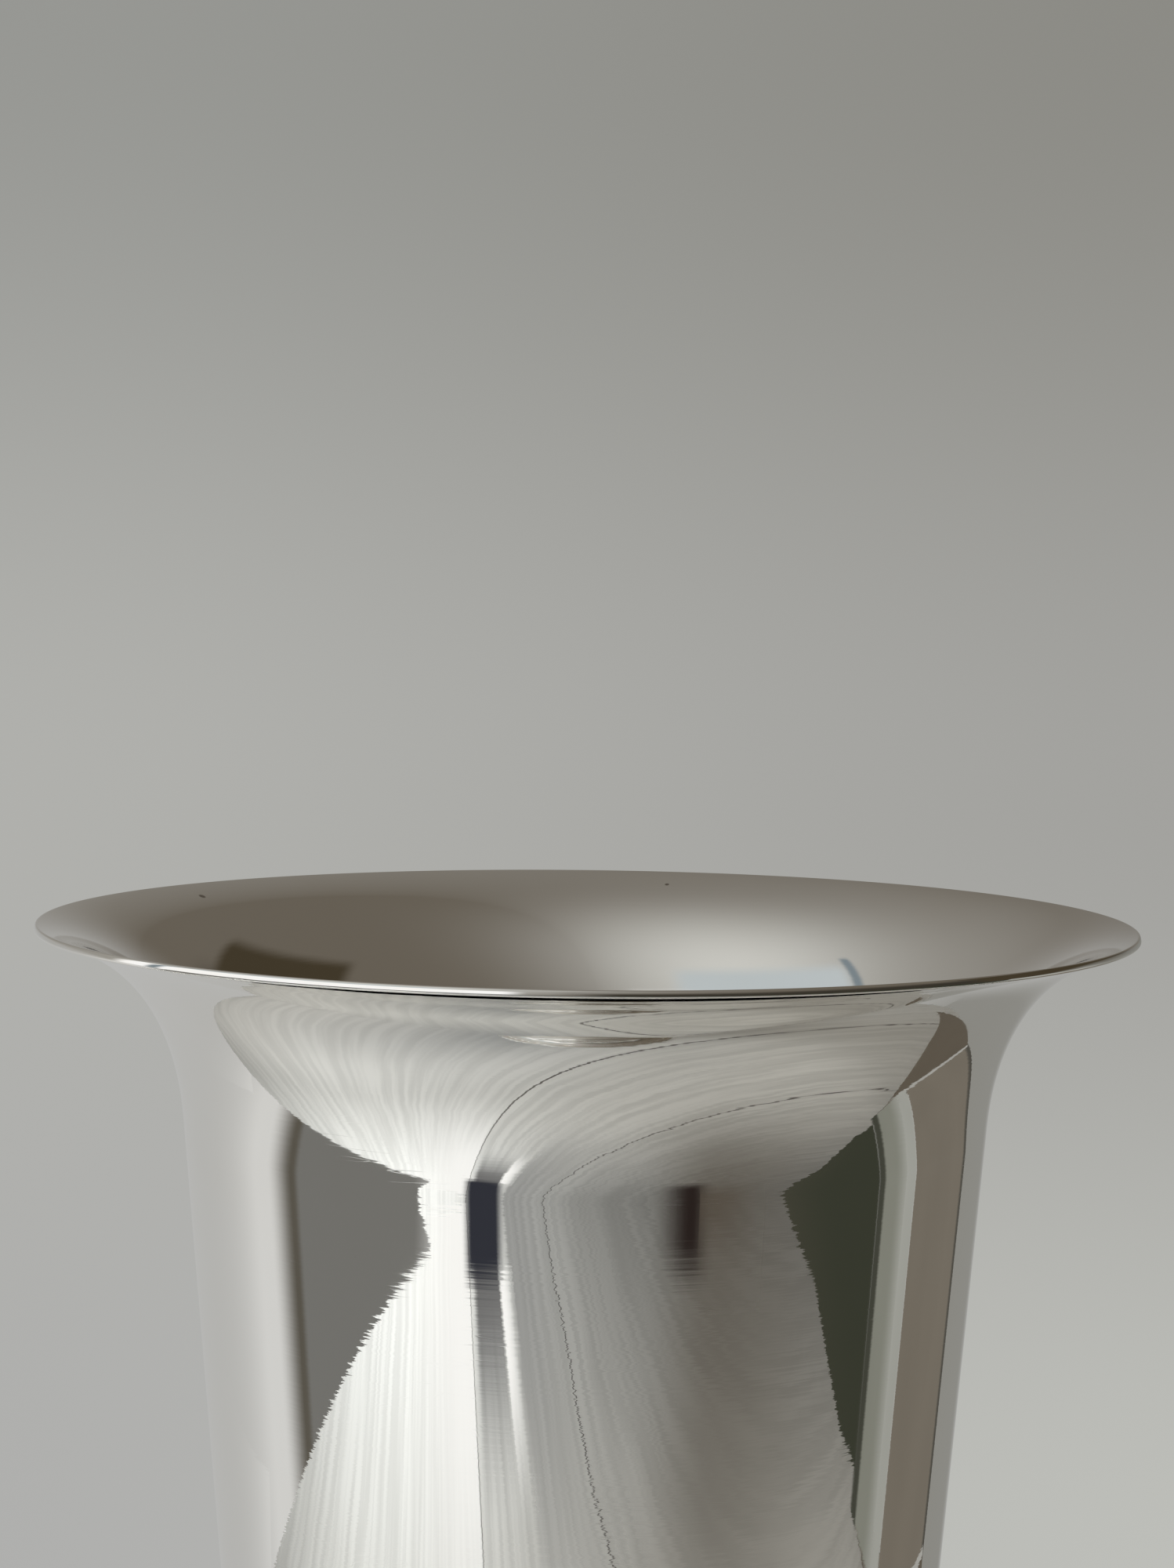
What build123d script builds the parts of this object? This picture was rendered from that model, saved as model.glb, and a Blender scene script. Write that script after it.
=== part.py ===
from build123d import *

import os
from math import cos, pi, radians, sin, tan

# A silver-plated trumpet vase: a spun trumpet on a spun, weighted foot, with one stud drawing them together.
# The origin is the middle of the underside, with +Z up along the axis of revolution.
# Lengths are in millimetres and angles in degrees. Every section is drawn as radius and height.

# Whole vase
overall_height = 260.0
rim_diameter = 130.0

# Trumpet, spun from sheet
sheet = 0.8
flare_depth = 23.9
flare_diameter = 95.8
taper_angle = 4.84
lip_angle = 13.2
flare_pull_share = 0.22

# Vessel floor, a pressed dish soldered into the lower end of the trumpet
floor_sheet = 0.8
floor_flange_height = 5.0
floor_bend_radius = 1.6
solder_gap = 0.1
solder_fillet = 1.4

# Waist collar, turned, between the trumpet and the foot
collar_height = 5.0
collar_proud = 2.0
collar_spigot_height = 4.0
collar_wall = 4.0
collar_web = 2.0
collar_boss_radius = 8.0
spigot_clearance = 0.15

# Foot, spun from sheet
foot_sheet = 0.9
foot_height = 36.0
foot_diameter = 102.0
neck_inset = 2.0
neck_corner_radius = 2.0
neck_height = 6.0
foot_flare_angle = 12.0
foot_flare_pull_share = 0.3
foot_flare_run = 3.0
edge_width = 6.0
step_drop = 1.8
step_top_radius = 1.1
step_root_radius = 0.8
edge_slope_angle = 9.0
edge_band_height = 4.4
edge_top_radius = 3.0
edge_bottom_radius = 1.4
return_flange_width = 6.0

# Closing plate and felt, under the foot
plate_sheet = 0.8
plate_clearance = 0.3
felt_proud = 0.4
felt_clearance = 0.5

# Centre stud and its nut and washers
stud_diameter = 6.0
stud_head_diameter = 22.0
stud_head_thickness = 2.0
stud_end_proud = 1.6
stud_end_chamfer = 0.6
stud_clearance = 0.3
stud_solder_fillet = 1.2
washer_diameter = 18.0
washer_thickness = 1.6
lock_washer_width = 2.2
lock_washer_thickness = 1.6
lock_washer_split = 1.0
nut_sides = 6
nut_width = 10.0
nut_thickness = 5.0
nut_clearance = 0.05
nut_chamfer_angle = 30.0

# Ballast, cast
ballast_lift = 0.3
ballast_clearance = 4.0
ballast_headroom = 1.0
ballast_boss_diameter = 34.0
ballast_edge_radius = 1.0
ballast_pocket_clearance = 2.0

# One overrun serves every cut
overrun = 1.0


def flare_controls(start, end, start_angle, end_angle, pull_share):
    """Bezier points of a flare that leaves start at one angle and arrives at end at another.

    The third point is where the two tangents meet, so the flare grows out of its straight wall with no jump
    in curvature, and pull_share says how far along the first tangent the second point lies.
    """
    leave = Vector(cos(radians(start_angle)), sin(radians(start_angle)))
    arrive = Vector(cos(radians(end_angle)), sin(radians(end_angle)))
    reach = (end - start).cross(arrive).Z / leave.cross(arrive).Z
    corner = start + leave * reach
    return start, start + (corner - start) * pull_share, corner, end


# Heights and radii that several pieces share
foot_bottom = felt_proud
foot_top = foot_bottom + foot_height
body_base = foot_top + collar_height
flare_height = overall_height - flare_depth
floor_seat = body_base + collar_spigot_height
plate_seat = foot_bottom + foot_sheet


def trumpet_radius(height):
    """Outer radius of the trumpet's straight wall."""
    return flare_diameter / 2 - tan(radians(taper_angle)) * (flare_height - height)


def trumpet_inner_radius(height):
    """Inner radius of the trumpet's straight wall."""
    return trumpet_radius(height) - sheet / cos(radians(taper_angle))


# Trumpet: a straight tapered wall that flares to a full-round lip
wall_angle = 90.0 - taper_angle
wall_to_inside = Vector(-cos(radians(taper_angle)), sin(radians(taper_angle))) * sheet
lip_across = Vector(-sin(radians(lip_angle)), cos(radians(lip_angle))) * (sheet / 2)
lip_along = Vector(cos(radians(lip_angle)), sin(radians(lip_angle))) * (sheet / 2)
lip_centre = Vector(rim_diameter / 2 - sheet / 2, overall_height - sheet / 2)
outer_flare = flare_controls(
    Vector(flare_diameter / 2, flare_height), lip_centre - lip_across, wall_angle, lip_angle, flare_pull_share
)
inner_flare = flare_controls(
    outer_flare[0] + wall_to_inside, lip_centre + lip_across, wall_angle, lip_angle, flare_pull_share
)

with BuildPart() as trumpet_body:
    with BuildSketch(Plane.XZ):
        with BuildLine():
            Line((trumpet_radius(body_base), body_base), outer_flare[0])
            Bezier(*outer_flare)
            ThreePointArc(outer_flare[-1], lip_centre + lip_along, inner_flare[-1])
            Bezier(*reversed(inner_flare))
            Line(inner_flare[0], (trumpet_inner_radius(body_base), body_base))
            Line((trumpet_inner_radius(body_base), body_base), (trumpet_radius(body_base), body_base))
        make_face()
    revolve(axis=Axis.Z)

# Vessel floor: a dish whose flange follows the trumpet's taper, so it wedges down onto the collar's spigot
floor_flange_top = floor_seat + floor_flange_height
floor_top = floor_seat + floor_sheet


def floor_outer_radius(height):
    """Outer radius of the floor's flange, a solder gap inside the trumpet."""
    return trumpet_inner_radius(height) - solder_gap


flange_inner_top = floor_outer_radius(floor_flange_top) - floor_sheet
flange_inner_root = floor_outer_radius(floor_top) - floor_sheet

with BuildPart() as vessel_floor:
    with BuildSketch(Plane.XZ):
        with BuildLine():
            FilletPolyline(
                (0, floor_seat),
                (floor_outer_radius(floor_seat), floor_seat),
                (floor_outer_radius(floor_flange_top), floor_flange_top),
                radius=floor_bend_radius,
            )
            Line((floor_outer_radius(floor_flange_top), floor_flange_top), (flange_inner_top, floor_flange_top))
            FilletPolyline(
                (flange_inner_top, floor_flange_top),
                (flange_inner_root, floor_top),
                (0, floor_top),
                radius=floor_bend_radius - floor_sheet,
            )
            Line((0, floor_top), (0, floor_seat))
        make_face()
    revolve(axis=Axis.Z)

# Floor solder seam: the fillet that makes the vessel hold water, on the flange's top edge
seam_top = floor_flange_top + solder_fillet
with BuildPart() as floor_solder_seam:
    with BuildSketch(Plane.XZ):
        with BuildLine():
            Line((flange_inner_top, floor_flange_top), (trumpet_inner_radius(floor_flange_top), floor_flange_top))
            Line(
                (trumpet_inner_radius(floor_flange_top), floor_flange_top),
                (trumpet_inner_radius(seam_top), seam_top),
            )
            Line((trumpet_inner_radius(seam_top), seam_top), (flange_inner_top, floor_flange_top))
        make_face()
    revolve(axis=Axis.Z)

# Waist collar: a half-round bead, a spigot up into the trumpet, and a web that clamps on the foot's neck
collar_bead_radius = collar_height / 2
collar_bead_centre = trumpet_radius(body_base) + collar_proud - collar_bead_radius
spigot_radius = trumpet_inner_radius(body_base) - spigot_clearance
stud_hole_radius = stud_diameter / 2 + stud_clearance
boss_bottom = foot_top - foot_sheet + spigot_clearance

with BuildPart() as waist_collar:
    with BuildSketch(Plane.XZ):
        with BuildLine():
            Polyline(
                (collar_bead_centre, foot_top),
                (collar_boss_radius, foot_top),
                (collar_boss_radius, boss_bottom),
                (stud_hole_radius, boss_bottom),
                (stud_hole_radius, foot_top + collar_web),
                (spigot_radius - collar_wall, foot_top + collar_web),
                (spigot_radius - collar_wall, floor_seat),
                (spigot_radius, floor_seat),
                (spigot_radius, body_base),
                (collar_bead_centre, body_base),
            )
            ThreePointArc(
                (collar_bead_centre, body_base),
                (collar_bead_centre + collar_bead_radius, foot_top + collar_bead_radius),
                (collar_bead_centre, foot_top),
            )
        make_face()
    revolve(axis=Axis.Z)

# Foot: a flanged neck, a concave flare, one step and a rounded edge band turned in underneath
neck_radius = trumpet_radius(body_base) - neck_inset
neck_hole_radius = collar_boss_radius + spigot_clearance
foot_radius = foot_diameter / 2
step_radius = foot_radius - edge_width
return_flange_radius = foot_radius - return_flange_width
edge_band_top = foot_bottom + edge_band_height
step_root_height = edge_band_top + tan(radians(edge_slope_angle)) * edge_width
step_top_height = step_root_height + step_drop


def foot_outline(inset):
    """Neck, flare and edge of the foot's face that lies inset behind its outer face."""
    slope = radians(foot_flare_angle)
    edge_slope = radians(edge_slope_angle)
    flare_end = Vector(step_radius - foot_flare_run, step_top_height + tan(slope) * foot_flare_run)
    flare = flare_controls(
        Vector(neck_radius - inset, foot_top - neck_height),
        flare_end - Vector(sin(slope), cos(slope)) * inset,
        -90.0,
        -foot_flare_angle,
        foot_flare_pull_share,
    )
    neck = [(neck_hole_radius, foot_top - inset), (neck_radius - inset, foot_top - inset), flare[0]]
    step_sink = inset / cos(slope) - inset * tan(slope)
    edge_sink = inset / cos(edge_slope) - inset * tan(edge_slope)
    edge = [
        flare[-1],
        (step_radius - inset, step_top_height - step_sink),
        (step_radius - inset, step_root_height - edge_sink),
        (foot_radius - inset, edge_band_top - edge_sink),
        (foot_radius - inset, foot_bottom + inset),
        (return_flange_radius, foot_bottom + inset),
    ]
    return neck, flare, edge


with BuildPart() as foot_shell:
    with BuildSketch(Plane.XZ):
        with BuildLine():
            for inset in (0.0, foot_sheet):
                neck, flare, edge = foot_outline(inset)
                FilletPolyline(*neck, radius=neck_corner_radius - inset)
                Bezier(*flare)
                FilletPolyline(
                    *edge,
                    radius=[
                        step_top_radius - inset,
                        step_root_radius + inset,
                        edge_top_radius - inset,
                        edge_bottom_radius - inset,
                    ],
                )
            Line((neck_hole_radius, foot_top), (neck_hole_radius, foot_top - foot_sheet))
            Line((return_flange_radius, foot_bottom), (return_flange_radius, plate_seat))
        make_face()
    revolve(axis=Axis.Z)

# Closing plate: a disc laid on the foot's turned-in edge
plate_radius = foot_radius - edge_bottom_radius - plate_clearance
plate_top = plate_seat + plate_sheet
with BuildPart() as base_plate:
    with BuildSketch(Plane.XY.offset(plate_seat)):
        Circle(plate_radius)
    extrude(amount=plate_sheet)

# Felt: glued under the plate, through the ring of the turned-in edge, and the face that the vase stands on
with BuildPart() as felt_pad:
    with BuildSketch(Plane.XY):
        Circle(return_flange_radius - felt_clearance)
    extrude(amount=plate_seat)

# Ballast: a cast weight whose boss bears up on the foot's neck, with a pocket underneath for the nut
ballast_bottom = plate_top + ballast_lift
ballast_top = foot_top - foot_sheet
ballast_radius = step_radius - ballast_clearance
ballast_boss_radius = ballast_boss_diameter / 2
ballast_rim_top = step_top_height - foot_sheet - ballast_headroom
ballast_shoulder = ballast_rim_top + tan(radians(foot_flare_angle)) * (ballast_radius - ballast_boss_radius)
stack_height = washer_thickness + lock_washer_thickness + nut_thickness + stud_end_proud
pocket_roof = ballast_bottom + stack_height
pocket_radius = washer_diameter / 2 + ballast_pocket_clearance

with BuildPart() as ballast_weight:
    with BuildSketch(Plane.XZ):
        with BuildLine():
            Polyline(
                (0, ballast_bottom),
                (ballast_radius, ballast_bottom),
                (ballast_radius, ballast_rim_top),
                (ballast_boss_radius, ballast_shoulder),
                (ballast_boss_radius, ballast_top),
                (0, ballast_top),
                close=True,
            )
        make_face()
    revolve(axis=Axis.Z)
    fillet(edges().filter_by(GeomType.CIRCLE).group_by(SortBy.RADIUS)[-1], radius=ballast_edge_radius)
    with Locations(faces().sort_by(Axis.Z)[0]):
        CounterBoreHole(radius=stud_hole_radius, counter_bore_radius=pocket_radius, counter_bore_depth=stack_height)

# Stud: a round head soldered under the vessel floor, and a shank down through collar, foot and ballast
stud_head_bottom = floor_seat - stud_head_thickness
with BuildPart() as centre_stud:
    with BuildSketch(Plane.XY.offset(stud_head_bottom)):
        Circle(stud_head_diameter / 2)
    extrude(amount=stud_head_thickness)
    with BuildSketch(Plane.XY.offset(ballast_bottom)):
        Circle(stud_diameter / 2)
    extrude(amount=stud_head_bottom - ballast_bottom)
    chamfer(edges().sort_by(Axis.Z)[0], length=stud_end_chamfer)

# Stud solder seam: the fillet between the stud's head and the floor
with BuildPart() as stud_solder_seam:
    with BuildSketch(Plane.XZ):
        with BuildLine():
            Polyline(
                (stud_head_diameter / 2, floor_seat),
                (stud_head_diameter / 2 + stud_solder_fillet, floor_seat),
                (stud_head_diameter / 2, floor_seat - stud_solder_fillet),
                close=True,
            )
        make_face()
    revolve(axis=Axis.Z)

# Washers and nut, stacked down from the pocket's roof
washer_bottom = pocket_roof - washer_thickness
with BuildPart() as clamp_washer:
    with BuildSketch(Plane.XY.offset(washer_bottom)):
        Circle(washer_diameter / 2)
        Circle(stud_hole_radius, mode=Mode.SUBTRACT)
    extrude(amount=washer_thickness)

lock_washer_bottom = washer_bottom - lock_washer_thickness
lock_washer_radius = stud_hole_radius + lock_washer_width
with BuildPart() as lock_washer:
    with BuildSketch(Plane.XY.offset(lock_washer_bottom)):
        Circle(lock_washer_radius)
        Circle(stud_hole_radius, mode=Mode.SUBTRACT)
        with Locations((stud_hole_radius + lock_washer_width / 2, 0)):
            Rectangle(lock_washer_width + overrun, lock_washer_split, mode=Mode.SUBTRACT)
    extrude(amount=lock_washer_thickness)

nut_bottom = lock_washer_bottom - nut_thickness
nut_corner_radius = nut_width / 2 / cos(pi / nut_sides)
nut_chamfer_height = tan(radians(nut_chamfer_angle)) * (nut_corner_radius - nut_width / 2)
with BuildPart() as clamp_nut:
    with BuildSketch(Plane.XY.offset(nut_bottom)):
        RegularPolygon(nut_width / 2, side_count=nut_sides, major_radius=False)
        Circle(stud_diameter / 2 + nut_clearance, mode=Mode.SUBTRACT)
    extrude(amount=nut_thickness)
    with BuildSketch(Plane.XZ):
        with BuildLine():
            Polyline(
                (0, nut_bottom),
                (nut_width / 2, nut_bottom),
                (nut_corner_radius, nut_bottom + nut_chamfer_height),
                (nut_corner_radius, nut_bottom + nut_thickness - nut_chamfer_height),
                (nut_width / 2, nut_bottom + nut_thickness),
                (0, nut_bottom + nut_thickness),
                close=True,
            )
        make_face()
    revolve(axis=Axis.Z, mode=Mode.INTERSECT)

pieces = {
    "trumpet_body": trumpet_body,
    "vessel_floor": vessel_floor,
    "floor_solder_seam": floor_solder_seam,
    "waist_collar": waist_collar,
    "foot_shell": foot_shell,
    "ballast_weight": ballast_weight,
    "centre_stud": centre_stud,
    "stud_solder_seam": stud_solder_seam,
    "clamp_washer": clamp_washer,
    "lock_washer": lock_washer,
    "clamp_nut": clamp_nut,
    "base_plate": base_plate,
    "felt_pad": felt_pad,
}

os.makedirs("parts", exist_ok=True)
for name, piece in pieces.items():
    piece.part.label = name
    export_step(piece.part, f"parts/{name}.step")
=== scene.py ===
"""Looks of a silver-plated trumpet vase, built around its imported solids."""

from math import cos, pi, radians, sin, tan

import bmesh
import bpy
from mathutils import Matrix, Vector


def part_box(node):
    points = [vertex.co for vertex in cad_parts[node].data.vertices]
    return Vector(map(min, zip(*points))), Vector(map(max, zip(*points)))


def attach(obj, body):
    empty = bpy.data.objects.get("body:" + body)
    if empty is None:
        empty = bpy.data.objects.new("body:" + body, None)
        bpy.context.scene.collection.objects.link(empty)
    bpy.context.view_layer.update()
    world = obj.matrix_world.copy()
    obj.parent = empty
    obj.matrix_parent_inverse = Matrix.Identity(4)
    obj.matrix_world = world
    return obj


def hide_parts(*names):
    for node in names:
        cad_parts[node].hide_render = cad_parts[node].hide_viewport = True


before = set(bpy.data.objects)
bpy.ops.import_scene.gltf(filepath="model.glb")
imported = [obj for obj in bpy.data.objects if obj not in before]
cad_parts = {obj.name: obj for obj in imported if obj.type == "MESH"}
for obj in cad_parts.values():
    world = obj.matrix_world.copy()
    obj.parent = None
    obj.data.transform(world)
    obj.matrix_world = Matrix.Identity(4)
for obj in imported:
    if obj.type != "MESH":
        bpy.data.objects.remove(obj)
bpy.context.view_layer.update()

# Lengths are in metres and angles in degrees. The sections repeat the solids' own values.
millimetre = 0.001
right_angle = 90.0

# Trumpet
sheet = 0.8 * millimetre
flare_depth = 23.9 * millimetre
flare_diameter = 95.8 * millimetre
taper_angle = 4.84
lip_angle = 13.2
flare_pull_share = 0.22
lip_fullness = 0.56

# Vessel floor and its solder
floor_sheet = 0.8 * millimetre
floor_bend_radius = 1.6 * millimetre
solder_gap = 0.1 * millimetre
solder_hollow_share = 0.35
solder_pull_share = 0.6
cut_edge_radius = 0.2 * millimetre

# Waist collar
collar_height = 5.0 * millimetre
collar_proud = 2.0 * millimetre
collar_wall = 4.0 * millimetre
collar_web = 2.0 * millimetre
spigot_clearance = 0.15 * millimetre
collar_boss_radius = 8.0 * millimetre
stud_hole_radius = 3.3 * millimetre

# Foot
foot_sheet = 0.9 * millimetre
neck_inset = 2.0 * millimetre
neck_corner_radius = 2.0 * millimetre
neck_height = 6.0 * millimetre
foot_flare_angle = 12.0
foot_flare_pull_share = 0.3
foot_flare_run = 3.0 * millimetre
edge_width = 6.0 * millimetre
step_drop = 1.8 * millimetre
step_top_radius = 1.1 * millimetre
step_root_radius = 0.8 * millimetre
edge_slope_angle = 9.0
edge_band_height = 4.4 * millimetre
edge_top_radius = 3.0 * millimetre
edge_bottom_radius = 1.4 * millimetre
return_flange_width = 6.0 * millimetre
plate_edge_radius = 0.25 * millimetre
felt_edge_radius = 0.45 * millimetre

# How finely the pieces are turned
rim_segments = 384
foot_segments = 320
inner_segments = 256
flare_steps = 80
cone_steps = 28
lip_steps = 28
fillet_steps = 14
foot_flare_steps = 60
bead_steps = 36
crease_angle = 40.0

# Camera, fitted to the rim's ellipse and to the outline in the photograph
camera_distance = 0.28275
camera_above_rim = 0.0301
camera_pitch = 2.86
camera_roll = 0.68
camera_yaw = -0.056
camera_lens = 54.1
sensor_width = 36.0

# Looks: colours are linear, scales are per metre
silver_colour = (0.94, 0.93, 0.905, 1.0)
tarnish_colour = (0.62, 0.52, 0.36, 1.0)
brass_colour = (0.80, 0.66, 0.40, 1.0)
speck_colour = (0.16, 0.12, 0.08, 1.0)
mirror_roughness = 0.014
body_haze_share = 0.02
inside_haze_share = 0.08
inner_turn = 0.04
inner_roughness = 0.03
# Deep inside, the silver turns to a dull satin, its colour darker there as painted shade
dull_depth = 25.0 * millimetre
dull_run = 90.0 * millimetre
dull_roughness = 0.07
dull_share = 0.2
satin_and_shade_colour = (0.80, 0.77, 0.71, 1.0)
# Dark marks on the trumpet: place and radius, in millimetres
marks = (
    ((-51.69, 31.71, 258.73), 0.62),
    ((11.48, 59.09, 258.54), 0.40),
    ((-13.72, -63.22, 259.40), 0.26),
)
mark_share = 0.75
haze_scale = 38.0
haze_detail = 4.0
haze_limits = (0.42, 0.75)
film_share = 0.05
polish_scales = (45.0, 45.0, 1500.0)
polish_depth = 0.0025 * millimetre
hairline_stretch = (30.0, 140.0, 900.0)
hairline_detail = 1.0
hairline_level = 0.5
hairline_width_share = 0.012
hairline_patch_scale = 55.0
hairline_patch_limits = (0.5, 0.72)
hairline_roughness = 0.08
hairline_depth = 0.0006 * millimetre
tarnish_roughness = 0.12
crease_reach = 0.9 * millimetre
crease_tarnish_share = 0.55
speck_scale = 52.0
speck_rarity_share = 0.9
speck_radius_share = 0.03
speck_edge_share = 0.012
speck_roughness = 0.35
lip_wear_width = 0.7 * millimetre
lip_wear_scale = 160.0
lip_wear_detail = 3.0
lip_wear_limits = (0.35, 0.7)
lip_wear_share = 0.08
foot_crease_height = 5.7 * millimetre
grain_detail = 4.0
grain_limits = (0.3, 0.7)
solder_look = {
    "dark": (0.30, 0.30, 0.29, 1.0),
    "light": (0.52, 0.51, 0.49, 1.0),
    "metallic": 1.0,
    "roughness": (0.28, 0.48),
    "grain": (700.0, 700.0, 700.0),
    "depth": 0.06 * millimetre,
}
fastener_look = {
    "dark": (0.42, 0.40, 0.36, 1.0),
    "light": (0.60, 0.58, 0.54, 1.0),
    "metallic": 1.0,
    "roughness": (0.25, 0.42),
    "grain": (90.0, 90.0, 2200.0),
    "depth": 0.02 * millimetre,
}
plate_look = {
    "dark": (0.46, 0.46, 0.45, 1.0),
    "light": (0.62, 0.62, 0.60, 1.0),
    "metallic": 1.0,
    "roughness": (0.26, 0.40),
    "grain": (1800.0, 90.0, 90.0),
    "depth": 0.02 * millimetre,
}
ballast_look = {
    "dark": (0.05, 0.045, 0.04, 1.0),
    "light": (0.12, 0.105, 0.09, 1.0),
    "metallic": 0.7,
    "roughness": (0.62, 0.85),
    "grain": (620.0, 620.0, 620.0),
    "depth": 0.3 * millimetre,
}
felt_dark = (0.012, 0.040, 0.022, 1.0)
felt_light = (0.022, 0.066, 0.036, 1.0)
felt_fleck = (0.050, 0.110, 0.066, 1.0)
felt_fibre = (2600.0, 420.0, 900.0)
felt_crossing = (420.0, 2600.0, 900.0)
felt_detail = 3.0
felt_mottle_scale = 160.0
felt_mottle_limits = (0.3, 0.7)
felt_fleck_limits = (0.55, 0.8)
felt_fleck_share = 0.6
felt_pile_limits = (0.3, 0.8)
felt_pile_depth = 0.25 * millimetre
felt_roughness = (0.85, 1.0)
felt_sheen = 0.35
felt_sheen_roughness = 0.6

# Stage: a plain pale floor, and a table, a wall and cards that only the metal shows
floor_radius = 0.46
floor_fade_start = 0.22
floor_light = (0.76, 0.76, 0.745, 1.0)
floor_dark = (0.72, 0.72, 0.705, 1.0)
floor_mottle_scale = 6.0
stage_roughness = 0.6
stage_specular = 0.2
table_radius = 0.48
table_middle = (0.0, -0.16)
disc_segments = 256
table_light = (0.79, 0.79, 0.775, 1.0)
table_dark = (0.66, 0.66, 0.645, 1.0)
# Painted light: a lighter copy of the boards near the vase's left
table_lit_light = (1.0, 1.0, 0.985, 1.0)
table_lit_dark = (0.88, 0.88, 0.865, 1.0)
table_lit_middle = (-0.09, 0.09, 0.0)
table_lit_reach = (0.17, 0.29)
table_lit_side = (0.0, 0.08)
# Painted shadow of the vase on the boards, at its right and back
table_shade_colour = (0.20, 0.19, 0.17, 1.0)
table_shade_side = (0.03, 0.10)
table_shade_back = (-0.05, 0.05)
table_shade_share = 0.25
table_seam_colour = (0.14, 0.13, 0.12, 1.0)
board_along = (0.607, 0.795, 0.0)
board_across = (0.795, -0.607, 0.0)
board_seams = (0.064, 0.272)
board_seam_width = 1.5 * millimetre
board_grain = (95.0, 3.5)
board_grain_detail = 6.0
board_grain_limits = (0.35, 0.65)
board_wave = (2.0, 12.0)
board_wave_level = 0.5
board_wave_reach = 14.0 * millimetre
front_board = (
    (-0.455, -1.3),
    (0.535, -1.3),
    (0.535, -0.40),
    (-0.30, -0.40),
    (-0.375, -0.440),
    (-0.455, -0.450),
)
side_board = (
    (0.30, -0.41),
    (0.535, -0.41),
    (0.541, -0.238),
    (0.491, -0.122),
    (0.462, -0.062),
    (0.30, -0.062),
)
board_drop = 0.5 * millimetre
wall_distance = 0.42
wall_half_width = 60.0
wall_low = -25.0
# Painted light and shade on the wall: lighter at the left, the vase's painted shadow behind its right,
# lighter again far right
wall_slants = (-4.17, -0.905)
wall_shade_reach = (0.08, 0.24)
wall_right_reach = (0.6, 1.0)
wall_high = 0.42
wall_fade_start = 0.16
wall_left = (0.66, 0.66, 0.65, 1.0)
wall_middle = (0.475, 0.475, 0.465, 1.0)
wall_shade = (0.265, 0.262, 0.243, 1.0)
wall_right = (0.40, 0.40, 0.38, 1.0)
back_card = ((-0.46, 0.12), (0.19, 0.12), (0.19, 0.42), (-0.46, 0.42))
corner_card = (
    (0.194, 0.241),
    (0.274, 0.148),
    (0.344, 0.084),
    (0.413, 0.012),
    (0.440, -0.040),
    (0.403, 0.046),
    (0.378, 0.160),
    (0.350, 0.290),
    (0.309, 0.274),
)
corner_edge = (
    (0.403, 0.046),
    (0.378, 0.160),
    (0.350, 0.290),
    (0.342, 0.286),
    (0.369, 0.158),
    (0.393, 0.046),
)
corner_lift = 0.5 * millimetre
corner_edge_lift = 0.8 * millimetre
corner_colour = (0.120, 0.102, 0.079, 1.0)
corner_edge_colour = (0.40, 0.395, 0.37, 1.0)
card_depth = -0.6
card_fade_share = 0.5
card_dark_share = 0.85
card_mottle_scale = 11.0
# Upright cards: both ends, height, shares of softness at the ends, height of the soft foot, colour
upright_cards = {
    "brown_card": ((0.397, 0.074), (0.348, 0.296), 0.23, (0.01, 0.01), 0.0, (0.190, 0.168, 0.137, 1.0)),
    "dark_card": ((0.352, 0.272), (0.347, 0.296), 0.23, (0.6, 0.1), 0.0, (0.085, 0.080, 0.068, 1.0)),
    "grey_card": ((0.434, -0.028), (0.399, 0.045), 0.2, (0.1, 0.02), 0.0, (0.235, 0.24, 0.205, 1.0)),
    "edge_card": ((0.4376, -0.0389), (0.4249, -0.0116), 0.2, (0.35, 0.3), 0.0, (0.060, 0.062, 0.048, 1.0)),
    "pale_card": ((0.402, 0.0125), (0.390, 0.0717), 0.2, (0.7, 0.02), 0.0, (0.37, 0.375, 0.345, 1.0)),
    "post_card": ((-1.0, 0.14), (-1.0, -0.095), 0.2, (0.775, 0.2), 0.0, (0.112, 0.102, 0.083, 1.0)),
    "left_flag": ((-0.293, -0.4535), (-0.193, -0.507), 0.08, (0.24, 0.22), 0.014, (0.034, 0.036, 0.047, 1.0)),
    "right_flag": ((0.161, -0.523), (0.3126, -0.446), 0.08, (0.62, 0.36), 0.022, (0.024, 0.017, 0.015, 1.0)),
    "side_flag": ((0.2265, -0.502), (0.414, -0.359), 0.08, (0.3, 0.6), 0.056, (0.097, 0.079, 0.060, 1.0)),
}
strip_fade_share = 0.7
strip_lift = 0.3 * millimetre
# Colours of the painted light and the painted shade laid on the boards
lit_colour = (0.99, 0.99, 0.975, 1.0)
dim_colour = (0.17, 0.17, 0.17, 1.0)
# Painted light and painted shade in strips along the boards: reach across and along, share of cover, shares
# of softness at the sides, colour
board_strips = {
    "lit_strip": ((-0.10, 0.0645), (-0.62, -0.20), 0.95, (0.9, 0.01), lit_colour),
    "shade_strip": ((0.0665, 0.142), (-0.60, -0.375), 1.0, (0.25, 0.06), dim_colour),
    "light_strip": ((0.142, 0.175), (-0.535, -0.36), 1.0, (0.06, 0.8), lit_colour),
    "dim_strip": ((0.164, 0.30), (-0.66, -0.20), 0.55, (0.06, 0.9), dim_colour),
}
# Painted shade in a strip across the boards: both ends, width, share of cover, shares of softness at the
# sides, colour
right_shade = ((0.444, -0.481), (0.25, -0.058), 0.60, 0.6, (0.31, 0.69), (0.10, 0.085, 0.065, 1.0))
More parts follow.
